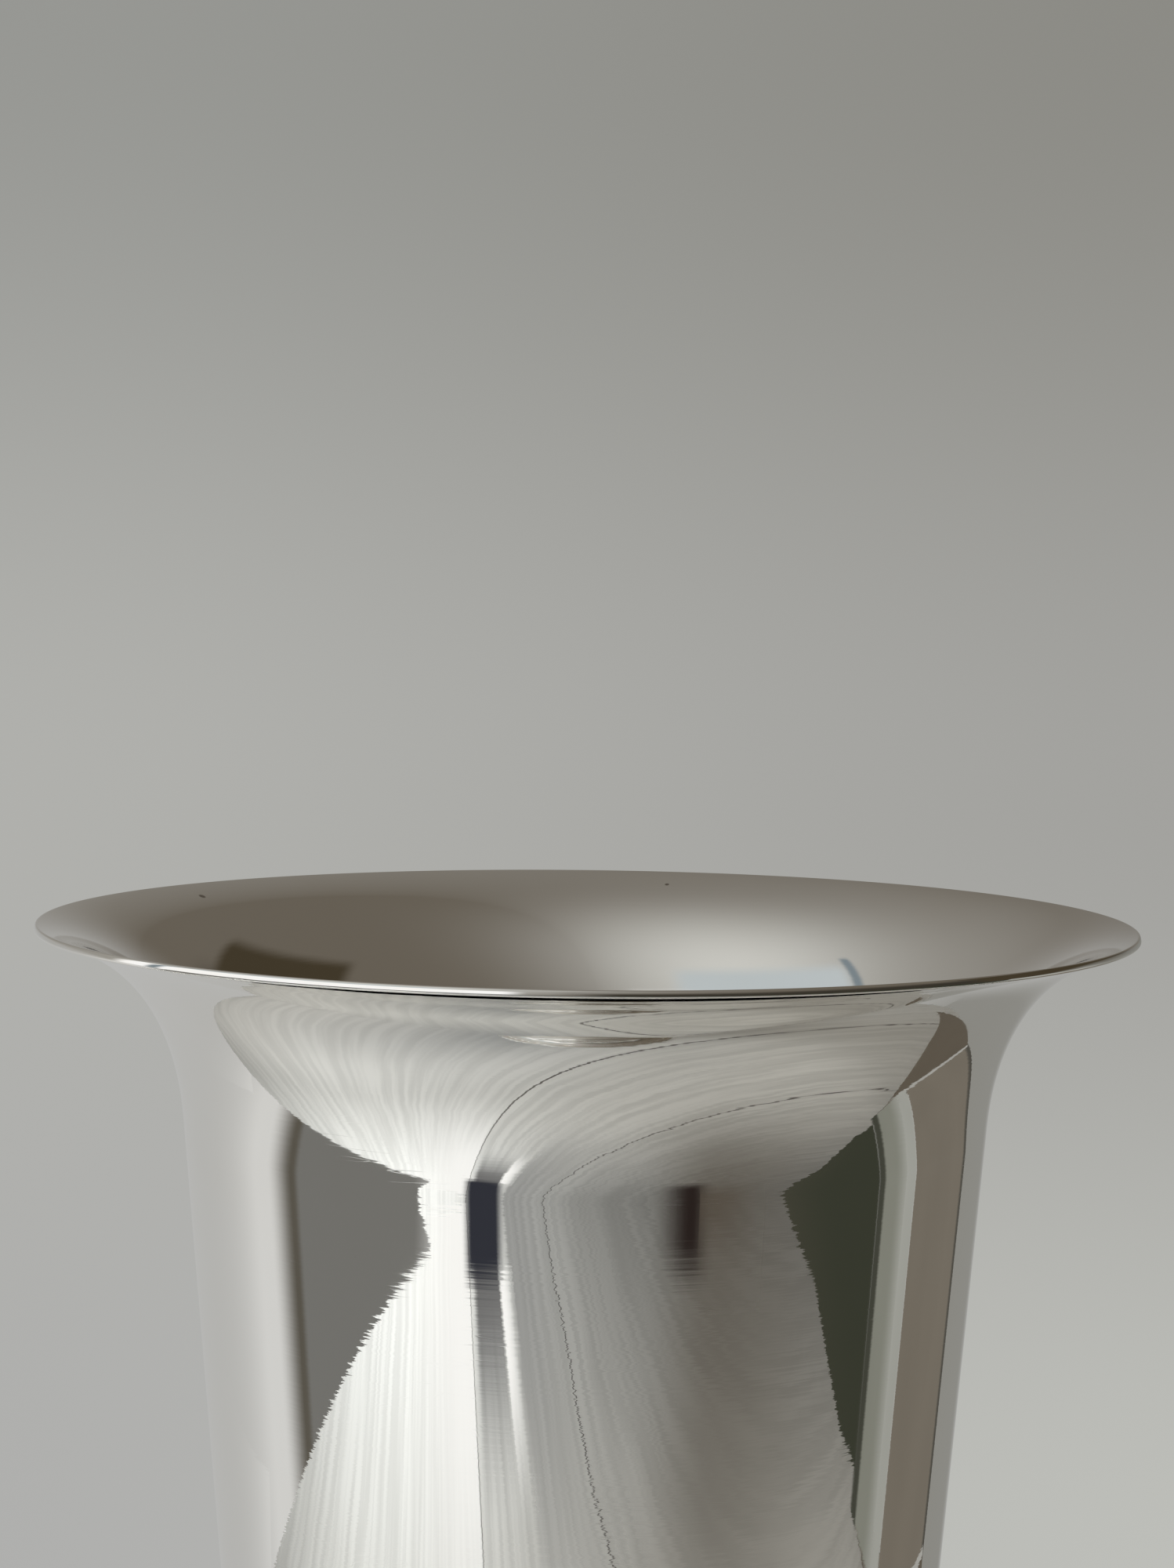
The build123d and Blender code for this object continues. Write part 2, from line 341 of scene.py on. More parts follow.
# Lamps: place, width, power, colour
lamps = {
    "key": ((-0.48, -0.31, 0.464), 0.26, 2.6, (0.96, 0.99, 1.0)),
    "top": ((0.07, 0.02, 0.50), 0.30, 1.7, (1.0, 0.96, 0.88)),
    "kicker": ((-0.37, -0.48, 0.2), 0.08, 0.2, (1.0, 1.0, 1.0)),
}
fill_colour = (0.03, 0.03, 0.029, 1.0)

# Surroundings that only the backdrop and the reflections show, by direction
# For the camera the backdrop darkens towards its top: painted shade
backdrop_top = (0.31, 0.312, 0.295, 1.0), (0.262, 0.258, 0.236, 1.0)
backdrop_middle = (0.435, 0.435, 0.415, 1.0), (0.365, 0.362, 0.345, 1.0)
backdrop_low = (0.43, 0.43, 0.42, 1.0), (0.51, 0.515, 0.485, 1.0)
backdrop_sides = (-0.26, 0.26)
backdrop_rise = (-0.05, 0.26)
backdrop_fall = (-0.36, -0.05)
ceiling_colour = (0.140, 0.122, 0.098, 1.0)
glow_colour = (0.605, 0.605, 0.58, 1.0)
glow_direction = (-0.539, -0.554, 0.634)
glow_share = 0.74
glow_power = 3.6
haze_direction = (-0.977, 0.136, 0.163)
haze_glow_share = 0.38
haze_power = 0.7
# Panels of the room, each over those before: middle, half width, top and softness in degrees, then colour
room_panels = {
    "window": ((-61.0, 31.0, 37.0, 4.0), (0.50, 0.545, 0.565, 1.0)),
    "low_window": ((-60.0, 46.0, 24.0, 3.0), (1.0, 1.0, 1.0, 1.0)),
    "low_shade": ((72.0, 72.0, 20.0, 8.0), (0.040, 0.035, 0.027, 1.0)),
    "window_bar": ((-94.5, 1.8, 41.0, 1.2), (0.20, 0.24, 0.265, 1.0)),
    "room_shade": ((110.0, 27.0, 36.0, 3.2), (0.055, 0.043, 0.026, 1.0)),
}
ground_left = (0.175, 0.173, 0.163, 1.0)
ground_right = (0.040, 0.043, 0.030, 1.0)
ground_sides = (-0.35, 0.2)
horizon_reach = (-0.02, 0.02)


def bezier(points, steps):
    """Points along a cubic curve, both ends included."""
    found = []
    for index in range(steps + 1):
        far = index / steps
        near = 1.0 - far
        shares = (near**3, 3 * near**2 * far, 3 * near * far**2, far**3)
        found.append(sum((point * share for point, share in zip(points, shares)), Vector((0.0, 0.0))))
    return found


def flare_controls(start, end, start_angle, end_angle, pull_share):
    """Bezier points of a flare that leaves start at one angle and arrives at end at another."""
    leave = Vector((cos(radians(start_angle)), sin(radians(start_angle))))
    arrive = Vector((cos(radians(end_angle)), sin(radians(end_angle))))
    reach = (end - start).cross(arrive) / leave.cross(arrive)
    corner = start + leave * reach
    return start, start + (corner - start) * pull_share, corner, end


def straight(start, end, steps):
    """Points along a straight run, both ends included."""
    return [start.lerp(end, index / steps) for index in range(steps + 1)]


def rounded(corners, radii, steps):
    """Points of an outline whose inner corners are rounded, each with its own radius."""
    found = [corners[0]]
    for before, corner, after, radius in zip(corners, corners[1:], corners[2:], radii):
        arriving = (corner - before).normalized()
        leaving = (after - corner).normalized()
        turn = arriving.angle_signed(leaving)
        reach = radius * tan(abs(turn) / 2)
        start = corner - arriving * reach
        across = Vector((-arriving.y, arriving.x)) * (-radius if turn > 0 else radius)
        centre = start + across
        for index in range(steps + 1):
            spoke = start - centre
            spoke.rotate(Matrix.Rotation(-turn * index / steps, 2))
            found.append(centre + spoke)
    found.append(corners[-1])
    return found


def offset_outline(outline, distance):
    """The outline moved to its right by a distance, as a sheet's other face."""
    found = []
    for index, point in enumerate(outline):
        before = outline[max(index - 1, 0)]
        after = outline[min(index + 1, len(outline) - 1)]
        along = (after - before).normalized()
        found.append(point + Vector((along.y, -along.x)) * distance)
    return found


def lathe(name, section, segments):
    """A closed body of revolution from a closed section of radius and height."""
    body = bmesh.new()
    rings = []
    for point in section:
        if point.x <= 0.0:
            rings.append([body.verts.new((0.0, 0.0, point.y))])
            continue
        ring = []
        for index in range(segments):
            angle = 2 * pi * index / segments
            ring.append(body.verts.new((point.x * cos(angle), point.x * sin(angle), point.y)))
        rings.append(ring)
    for ring, following in zip(rings, rings[1:] + rings[:1]):
        if len(ring) == 1 and len(following) == 1:
            continue
        for index in range(segments):
            turn = (index + 1) % segments
            corners = [ring[index % len(ring)], ring[turn % len(ring)]]
            corners += [following[turn % len(following)], following[index % len(following)]]
            body.faces.new(list(dict.fromkeys(corners)))
    bmesh.ops.recalc_face_normals(body, faces=body.faces)
    mesh = bpy.data.meshes.new(name)
    body.to_mesh(mesh)
    body.free()
    mesh.shade_smooth()
    piece = bpy.data.objects.new(name, mesh)
    bpy.context.scene.collection.objects.link(piece)
    return piece


def dress(piece, node, material):
    """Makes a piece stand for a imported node, with its own material."""
    piece.data.materials.append(material)
    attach(piece, "root")
    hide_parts(node)


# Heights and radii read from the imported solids
trumpet_low, trumpet_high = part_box("trumpet_body")
floor_low, floor_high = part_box("vessel_floor")
seam_low, seam_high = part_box("floor_solder_seam")
collar_low, collar_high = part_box("waist_collar")
foot_low, foot_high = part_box("foot_shell")
plate_low, plate_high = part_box("base_plate")
felt_low, felt_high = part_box("felt_pad")
rim_radius = trumpet_high.x
rim_height = trumpet_high.z
body_base = trumpet_low.z
flare_height = rim_height - flare_depth


def wall_radius(height):
    """Outer radius of the trumpet's straight wall."""
    return flare_diameter / 2 - tan(radians(taper_angle)) * (flare_height - height)


def inner_radius(height):
    """Inner radius of the trumpet's straight wall."""
    return wall_radius(height) - sheet / cos(radians(taper_angle))


def trumpet_section():
    """The trumpet's wall, from its lower end out to the full-round lip and back down the inside."""
    wall_angle = right_angle - taper_angle
    to_inside = Vector((-cos(radians(taper_angle)), sin(radians(taper_angle)))) * sheet
    along = Vector((cos(radians(lip_angle)), sin(radians(lip_angle)))) * (sheet / 2)
    across = Vector((-along.y, along.x))
    power = 2 / (2 - lip_fullness)
    lip_reach = (along.x**power + along.y**power) ** (1 / power)
    lip_centre = Vector((rim_radius - lip_reach, rim_height - lip_reach))
    start = Vector((flare_diameter / 2, flare_height))
    outer = flare_controls(start, lip_centre - across, wall_angle, lip_angle, flare_pull_share)
    inner = flare_controls(start + to_inside, lip_centre + across, wall_angle, lip_angle, flare_pull_share)
    lip = []
    for index in range(1, lip_steps):
        turn = pi * (1 - cos(pi * index / lip_steps)) / 2
        out = sin(turn) ** lip_fullness
        side = abs(cos(turn)) ** lip_fullness
        lip.append(lip_centre + along * out + across * (side if turn > pi / 2 else -side))
    section = straight(Vector((wall_radius(body_base), body_base)), start, cone_steps)[:-1]
    section += bezier(outer, flare_steps)
    section += lip
    section += bezier(inner, flare_steps)[::-1]
    section += straight(inner[0], Vector((inner_radius(body_base), body_base)), cone_steps)[1:]
    return section


def floor_outer_radius(height):
    """Outer radius of the vessel floor's flange, a solder gap inside the trumpet."""
    return inner_radius(height) - solder_gap


def floor_section():
    """The vessel floor: a dish whose flange follows the trumpet's taper."""
    seat, top = floor_low.z, floor_high.z
    inside = floor_outer_radius(top) - floor_sheet
    root = floor_outer_radius(seat + floor_sheet) - floor_sheet
    corners = [
        Vector((0.0, seat)),
        Vector((floor_outer_radius(seat), seat)),
        Vector((floor_outer_radius(top), top)),
        Vector((inside, top)),
        Vector((root, seat + floor_sheet)),
        Vector((0.0, seat + floor_sheet)),
    ]
    radii = [floor_bend_radius, cut_edge_radius, cut_edge_radius, floor_bend_radius - floor_sheet]
    return rounded(corners, radii, fillet_steps)


def seam_section():
    """The solder's hollow fillet, from the flange's top edge up the trumpet's wall."""
    low, high = seam_low.z, seam_high.z
    toe = Vector((floor_outer_radius(low) - floor_sheet, low))
    heel = Vector((inner_radius(low), low))
    head = Vector((inner_radius(high), high))
    hollow = heel.lerp((toe + head) / 2, solder_hollow_share)
    pulls = [end.lerp(hollow, solder_pull_share) for end in (head, toe)]
    curve = bezier((head, *pulls, toe), fillet_steps)
    return [toe, heel] + curve[:-1]


def collar_section():
    """The waist collar: a half-round bead, a spigot into the trumpet and a web on the foot's neck."""
    top_of_foot = foot_high.z
    bead_radius = collar_height / 2
    bead_centre = wall_radius(body_base) + collar_proud - bead_radius
    spigot = inner_radius(body_base) - spigot_clearance
    web_top = top_of_foot + collar_web
    section = [
        Vector((collar_boss_radius, top_of_foot)),
        Vector((collar_boss_radius, collar_low.z)),
        Vector((stud_hole_radius, collar_low.z)),
        Vector((stud_hole_radius, web_top)),
        Vector((spigot - collar_wall, web_top)),
        Vector((spigot - collar_wall, collar_high.z)),
        Vector((spigot, collar_high.z)),
        Vector((spigot, body_base)),
    ]
    for index in range(bead_steps + 1):
        turn = pi * index / bead_steps
        out = bead_centre + bead_radius * sin(turn)
        section.append(Vector((out, top_of_foot + bead_radius * (1 + cos(turn)))))
    return section


def foot_section():
    """The foot's sheet: a flanged neck, a concave flare, a step and an edge band turned in underneath."""
    low, high = foot_low.z, foot_high.z
    radius = foot_high.x
    neck = wall_radius(body_base) - neck_inset
    step = radius - edge_width
    band_top = low + edge_band_height
    step_root = band_top + tan(radians(edge_slope_angle)) * edge_width
    step_top = step_root + step_drop
    flare_end = Vector((step - foot_flare_run, step_top + tan(radians(foot_flare_angle)) * foot_flare_run))
    flare_start = Vector((neck, high - neck_height))
    flare = flare_controls(flare_start, flare_end, -right_angle, -foot_flare_angle, foot_flare_pull_share)
    neck_corners = [Vector((collar_boss_radius + spigot_clearance, high)), Vector((neck, high)), flare_start]
    edge_corners = [
        flare_end,
        Vector((step, step_top)),
        Vector((step, step_root)),
        Vector((radius, band_top)),
        Vector((radius, low)),
        Vector((radius - return_flange_width, low)),
    ]
    edge_radii = [step_top_radius, step_root_radius, edge_top_radius, edge_bottom_radius]
    outside = rounded(neck_corners, [neck_corner_radius], fillet_steps)[:-1]
    outside += bezier(flare, foot_flare_steps)
    outside += rounded(edge_corners, edge_radii, fillet_steps)[1:]
    return outside + offset_outline(outside, foot_sheet)[::-1]


def disc_section(low, high, edge_radius):
    """A flat disc with rounded edges, sized by a node's box."""
    corners = [
        Vector((0.0, low.z)),
        Vector((high.x, low.z)),
        Vector((high.x, high.z)),
        Vector((0.0, high.z)),
    ]
    return rounded(corners, [edge_radius, edge_radius], fillet_steps)


def feed(tree, socket, source):
    """Sets a socket to a plain value, or links it to another socket."""
    if isinstance(source, bpy.types.NodeSocket):
        tree.links.new(source, socket)
    else:
        socket.default_value = source


def calculate(tree, operation, first, second=0.0):
    """One sum, on one value or on two."""
    node = tree.nodes.new("ShaderNodeMath")
    node.operation = operation
    feed(tree, node.inputs[0], first)
    feed(tree, node.inputs[1], second)
    return node.outputs[0]


def ease(tree, source, low, high, to_low=0.0, to_high=1.0):
    """A smooth step from one value to another as the source goes from low to high."""
    node = tree.nodes.new("ShaderNodeMapRange")
    node.interpolation_type = "SMOOTHSTEP"
    feed(tree, node.inputs["Value"], source)
    node.inputs["From Min"].default_value = low
    node.inputs["From Max"].default_value = high
    node.inputs["To Min"].default_value = to_low
    node.inputs["To Max"].default_value = to_high
    return node.outputs["Result"]


# Sockets of a mix node that are colours
first_colour, second_colour, mixed_colour = 6, 7, 2


def blend(tree, share, first, second):
    """A mix of two colours."""
    node = tree.nodes.new("ShaderNodeMix")
    node.data_type = "RGBA"
    feed(tree, node.inputs[0], share)
    feed(tree, node.inputs[first_colour], first)
    feed(tree, node.inputs[second_colour], second)
    return node.outputs[mixed_colour]


def noise(tree, vector, scale=1.0, detail=2.0):
    """Cloudy noise from 0 to 1."""
    node = tree.nodes.new("ShaderNodeTexNoise")
    feed(tree, node.inputs["Vector"], vector)
    node.inputs["Scale"].default_value = scale
    node.inputs["Detail"].default_value = detail
    return node.outputs[0]


def stretch(tree, vector, scale):
    """A vector times one factor for each axis."""
    node = tree.nodes.new("ShaderNodeVectorMath")
    node.operation = "MULTIPLY"
    feed(tree, node.inputs[0], vector)
    node.inputs[1].default_value = scale
    return node.outputs[0]


def dot(tree, vector, direction):
    """The length of a vector along a direction."""
    node = tree.nodes.new("ShaderNodeVectorMath")
    node.operation = "DOT_PRODUCT"
    feed(tree, node.inputs[0], vector)
    node.inputs[1].default_value = direction
    return node.outputs["Value"]


def distance(tree, vector, spot):
    """The distance of a place from a spot."""
    node = tree.nodes.new("ShaderNodeVectorMath")
    node.operation = "DISTANCE"
    feed(tree, node.inputs[0], vector)
    node.inputs[1].default_value = spot
    return node.outputs["Value"]


def joined(tree, parts, scales):
    """A vector from separate values, each times its own factor."""
    node = tree.nodes.new("ShaderNodeCombineXYZ")
    for socket, part, scale in zip(node.inputs, parts, scales):
        tree.links.new(calculate(tree, "MULTIPLY", part, scale), socket)
    return node.outputs[0]


def axes_of(tree, vector):
    """A vector's axes, apart."""
    node = tree.nodes.new("ShaderNodeSeparateXYZ")
    tree.links.new(vector, node.inputs[0])
    return node.outputs


def axis_distance(tree, axes):
    """The distance from the upright axis."""
    across = calculate(tree, "MULTIPLY", axes["X"], axes["X"])
    deep = calculate(tree, "MULTIPLY", axes["Y"], axes["Y"])
    return calculate(tree, "SQRT", calculate(tree, "ADD", across, deep))


def new_material(name):
    """A material and its tree."""
    material = bpy.data.materials.new(name)
    material.use_nodes = True
    return material, material.node_tree


def main_shader(tree):
    """The shader that a new material comes with."""
    return tree.nodes["Principled BSDF"]


def place(tree):
    """The place on the object."""
    return tree.nodes.new("ShaderNodeTexCoord").outputs["Object"]


def emboss(tree, height, depth):
    """Gives a material's shader a relief."""
    bump = tree.nodes.new("ShaderNodeBump")
    bump.inputs["Strength"].default_value = 1.0
    bump.inputs["Distance"].default_value = depth
    tree.links.new(height, bump.inputs["Height"])
    tree.links.new(bump.outputs["Normal"], main_shader(tree).inputs["Normal"])


def raised(tree, total, part, share):
    """A total and a share of another value."""
    return calculate(tree, "ADD", total, calculate(tree, "MULTIPLY", part, share))


def silver(name, creases, haze_share, lip_from=None, dull_from=None):
    """Polished silver plate with polishing lines, hairlines, haze, specks and tarnish; deep inside dull, with
    painted shade.
    """
    material, tree = new_material(name)
    shader = main_shader(tree)
    where = place(tree)
    axes = axes_of(tree, where)
    radius = axis_distance(tree, axes)
    along = calculate(tree, "ADD", axes["Z"], radius)
    polish = noise(tree, joined(tree, (axes["X"], axes["Y"], along), polish_scales))

    hairline_field = noise(tree, stretch(tree, where, hairline_stretch), detail=hairline_detail)
    off_line = calculate(tree, "ABSOLUTE", calculate(tree, "SUBTRACT", hairline_field, hairline_level))
    hairline = ease(tree, off_line, 0.0, hairline_width_share, 1.0, 0.0)
    broken = ease(tree, noise(tree, where, hairline_patch_scale), *hairline_patch_limits)
    hairline = calculate(tree, "MULTIPLY", hairline, broken)

    haze = ease(tree, noise(tree, where, haze_scale, haze_detail), *haze_limits)
    cells = tree.nodes.new("ShaderNodeTexVoronoi")
    feed(tree, cells.inputs["Vector"], where)
    cells.inputs["Scale"].default_value = speck_scale
    chosen = tree.nodes.new("ShaderNodeSeparateColor")
    tree.links.new(cells.outputs["Color"], chosen.inputs[0])
    speck_reach = ease(tree, chosen.outputs[0], speck_rarity_share, 1.0, 0.0, speck_radius_share)
    inside_speck = calculate(tree, "SUBTRACT", speck_reach, cells.outputs["Distance"])
    speck = ease(tree, inside_speck, 0.0, speck_edge_share)

    tarnish = calculate(tree, "MULTIPLY", haze, film_share)
    for height in creases:
        near = calculate(tree, "ABSOLUTE", calculate(tree, "SUBTRACT", axes["Z"], height))
        crease = ease(tree, near, 0.0, crease_reach, crease_tarnish_share, 0.0)
        tarnish = calculate(tree, "MAXIMUM", tarnish, crease)
    colour = blend(tree, tarnish, silver_colour, tarnish_colour)
    if lip_from is not None:
        worn = ease(tree, radius, lip_from, lip_from + lip_wear_width)
        patchy = noise(tree, where, lip_wear_scale, lip_wear_detail)
        patchy = ease(tree, patchy, *lip_wear_limits, 0.0, lip_wear_share)
        colour = blend(tree, calculate(tree, "MULTIPLY", worn, patchy), colour, brass_colour)
        for spot, reach in marks:
            apart = distance(tree, where, Vector(spot) * millimetre)
            mark = ease(tree, apart, reach * millimetre / 2, reach * millimetre, mark_share, 0.0)
            speck = calculate(tree, "MAXIMUM", speck, mark)
    colour = blend(tree, speck, colour, speck_colour)

    rough = calculate(tree, "MULTIPLY", haze, haze_share)
    rough = calculate(tree, "ADD", rough, mirror_roughness)
    if dull_from is None:
        shader.inputs["Metallic"].default_value = 1.0
    else:
        facing = tree.nodes.new("ShaderNodeTexCoord").outputs["Normal"]
        inner = ease(tree, dot(tree, facing, (0.0, 0.0, 1.0)), -inner_turn, inner_turn)
        deep = ease(tree, axes["Z"], dull_from - dull_run, dull_from, 1.0, 0.0)
        dull = calculate(tree, "MULTIPLY", inner, deep)
        rough = raised(tree, rough, inner, inner_roughness)
        rough = raised(tree, rough, dull, dull_roughness)
        feed(tree, shader.inputs["Metallic"], ease(tree, dull, 0.0, 1.0, 1.0, 1.0 - dull_share))
        # Painted shade with the satin: the colour darker deep inside
        colour = blend(tree, dull, colour, satin_and_shade_colour)
    tree.links.new(colour, shader.inputs["Base Color"])
    rough = raised(tree, rough, hairline, hairline_roughness)
    rough = raised(tree, rough, tarnish, tarnish_roughness)
    rough = raised(tree, rough, speck, speck_roughness)
    tree.links.new(rough, shader.inputs["Roughness"])

    relief = calculate(tree, "MULTIPLY", polish, polish_depth)
    emboss(tree, raised(tree, relief, hairline, -hairline_depth), 1.0)
    return material


def grained_metal(name, dark, light, metallic, roughness, grain, depth):
    """A plain metal with a mottled colour, an uneven gloss and a fine grain in relief."""
    material, tree = new_material(name)
    shader = main_shader(tree)
    mottle = noise(tree, stretch(tree, place(tree), grain), detail=grain_detail)
    tree.links.new(blend(tree, mottle, dark, light), shader.inputs["Base Color"])
    shader.inputs["Metallic"].default_value = metallic
    tree.links.new(ease(tree, mottle, *grain_limits, *roughness), shader.inputs["Roughness"])
    emboss(tree, mottle, depth)
    return material


def felt_cloth():
    """Pressed wool felt: short crossing fibres, a mottled dye and a soft sheen."""
    material, tree = new_material("felt_green")
    shader = main_shader(tree)
    where = place(tree)
    fibres = noise(tree, stretch(tree, where, felt_fibre), detail=felt_detail)
    crossing = noise(tree, stretch(tree, where, felt_crossing), detail=felt_detail)
    pile = calculate(tree, "MAXIMUM", fibres, crossing)
    mottle = noise(tree, where, felt_mottle_scale, felt_detail)
    colour = blend(tree, ease(tree, mottle, *felt_mottle_limits), felt_dark, felt_light)
    fleck = ease(tree, pile, *felt_fleck_limits, 0.0, felt_fleck_share)
    tree.links.new(blend(tree, fleck, colour, felt_fleck), shader.inputs["Base Color"])
    tree.links.new(ease(tree, pile, *felt_pile_limits, *felt_roughness), shader.inputs["Roughness"])
    shader.inputs["Sheen Weight"].default_value = felt_sheen
    shader.inputs["Sheen Roughness"].default_value = felt_sheen_roughness
    emboss(tree, pile, felt_pile_depth)
    return material


body_silver = silver(
    "silver_body", (body_base,), body_haze_share, rim_radius - lip_wear_width, rim_height - dull_depth
)
floor_silver = silver("silver_floor", (floor_low.z + floor_sheet,), inside_haze_share, dull_from=rim_height)
collar_silver = silver("silver_collar", (foot_high.z, body_base), body_haze_share)
foot_silver = silver("silver_foot", (foot_high.z, foot_low.z + foot_crease_height), body_haze_share)
solder_metal = grained_metal("solder_grey", **solder_look)
fastener_metal = grained_metal("fastener_steel", **fastener_look)
plate_metal = grained_metal("plate_steel", **plate_look)
ballast_metal = grained_metal("ballast_iron", **ballast_look)

trumpet = lathe("trumpet_wall", trumpet_section(), rim_segments)
dress(trumpet, "trumpet_body", body_silver)
dish = lathe("vessel_dish", floor_section(), inner_segments)
dress(dish, "vessel_floor", floor_silver)
solder = lathe("solder_fillet", seam_section(), inner_segments)
dress(solder, "floor_solder_seam", solder_metal)
collar = lathe("collar_bead", collar_section(), foot_segments)
dress(collar, "waist_collar", collar_silver)
foot = lathe("foot_spun", foot_section(), foot_segments)
dress(foot, "foot_shell", foot_silver)
plate = lathe("closing_plate", disc_section(plate_low, plate_high, plate_edge_radius), inner_segments)
dress(plate, "base_plate", plate_metal)
felt = lathe("felt_round", disc_section(felt_low, felt_high, felt_edge_radius), inner_segments)
dress(felt, "felt_pad", felt_cloth())
for piece in (trumpet, dish, collar, foot, plate, solder):
    piece.data.set_sharp_from_angle(angle=radians(crease_angle))

hidden_metals = {
    "ballast_weight": ballast_metal,
    "centre_stud": fastener_metal,
    "clamp_washer": fastener_metal,
    "lock_washer": fastener_metal,
    "clamp_nut": fastener_metal,
    "stud_solder_seam": solder_metal,
}
for node, material in hidden_metals.items():
    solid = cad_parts[node]
    solid.data.materials.clear()
    solid.data.materials.append(material)

# Stage
not_in_mirror = ("visible_glossy", "visible_shadow")
mirror_only = (
    "visible_camera",
    "visible_diffuse",
    "visible_shadow",
    "visible_transmission",
    "visible_volume_scatter",
)


def flat_face(name, corners, material, unseen_by=mirror_only):
    """A flat face of the stage, hidden from some kinds of ray."""
    mesh = bpy.data.meshes.new(name)
    mesh.from_pydata(corners, [], [list(range(len(corners)))])
    mesh.materials.append(material)
    face = bpy.data.objects.new(name, mesh)
    bpy.context.scene.collection.objects.link(face)
    for ray in unseen_by:
        setattr(face, ray, False)


def see_through(tree, surface, cover):
    """Ends a material in a surface, see-through where cover is less than one."""
    clear = tree.nodes.new("ShaderNodeBsdfTransparent")
    mix = tree.nodes.new("ShaderNodeMixShader")
    feed(tree, mix.inputs[0], cover)
    tree.links.new(clear.outputs[0], mix.inputs[1])
    tree.links.new(surface.outputs[0], mix.inputs[2])
    tree.links.new(mix.outputs[0], tree.nodes["Material Output"].inputs["Surface"])


def shown_as(tree, colour, cover=1.0):
    """Ends a material in its own colour, see-through where cover is less than one."""
    glow = tree.nodes.new("ShaderNodeEmission")
    feed(tree, glow.inputs["Color"], colour)
    see_through(tree, glow, cover)


def matt(tree, colour):
    """Gives a material's shader a matt paint."""
    shader = main_shader(tree)
    tree.links.new(colour, shader.inputs["Base Color"])
    shader.inputs["Roughness"].default_value = stage_roughness
    shader.inputs["Specular IOR Level"].default_value = stage_specular
    return shader


def mottled(tree, where, colour):
    """A colour with a faint mottle."""
    darker = tuple(part * card_dark_share for part in colour[:3]) + (1.0,)
    return blend(tree, noise(tree, where, card_mottle_scale), darker, colour)


def flat_card(name, outline, lift, colour):
    """A card lying on the table."""
    material, tree = new_material(name)
    shown_as(tree, mottled(tree, place(tree), colour))
    flat_face(name, [(*corner, lift) for corner in outline], material)


def laid_strip(name, far, near, width, cover_share, soft_shares, colour):
    """A strip of painted light or painted shade lying on the table, with its own softness at each side, that
    fades out from far to near.
    """
    material, tree = new_material(name)
    where = place(tree)
    far, near = Vector((*far, 0.0)), Vector((*near, 0.0))
    along = (near - far).normalized()
    sideways = Vector((along.y, -along.x, 0.0))
    middle = sideways.dot(far)
    low, high = middle - width / 2, middle + width / 2
    soft_low, soft_high = (width * share for share in soft_shares)
    across = dot(tree, where, sideways)
    cover = ease(tree, across, low, low + soft_low, 0.0, cover_share)
    cover = calculate(tree, "MULTIPLY", cover, ease(tree, across, high - soft_high, high, 1.0, 0.0))
    fade_from = along.dot(far.lerp(near, 1.0 - strip_fade_share))
    run = ease(tree, dot(tree, where, along), fade_from, along.dot(near), 1.0, 0.0)
    shown_as(tree, colour, calculate(tree, "MULTIPLY", cover, run))
    side = sideways * (width / 2)
    lift = Vector((0.0, 0.0, strip_lift))
    corners = (far - side, far + side, near + side, near - side)
    flat_face(name, [corner + lift for corner in corners], material)


def board_strip(name, reach_across, reach_along, *look):
    """A strip of painted light or painted shade along the boards, between two distances across them and two
    along them.
    """
    low, high = reach_across
    middle = Vector(board_across[:2]) * ((low + high) / 2)
    far, near = (middle + Vector(board_along[:2]) * end for end in reach_along)
    laid_strip(name, far, near, high - low, *look)


def upright_card(name, near, far, high, soft_shares, foot, colour):
    """An upright card over a line on the ground, with its own softness at each side and at its foot."""
    material, tree = new_material(name)
    where = place(tree)
    height = axes_of(tree, where)["Z"]
    run = Vector(far) - Vector(near)
    start = run.dot(Vector(near)) / run.length_squared
    along = calculate(tree, "SUBTRACT", dot(tree, where, (*(run / run.length_squared), 0.0)), start)
    cover = ease(tree, along, 0.0, soft_shares[0])
    cover = calculate(tree, "MULTIPLY", cover, ease(tree, along, 1.0 - soft_shares[1], 1.0, 1.0, 0.0))
    fade = ease(tree, height, high * card_fade_share, high, 1.0, 0.0)
    cover = calculate(tree, "MULTIPLY", cover, fade)
    if foot:
        cover = calculate(tree, "MULTIPLY", cover, ease(tree, height, 0.0, foot))
    shown_as(tree, mottled(tree, where, colour), cover)
    flat_face(name, [(*near, card_depth), (*far, card_depth), (*far, high), (*near, high)], material)


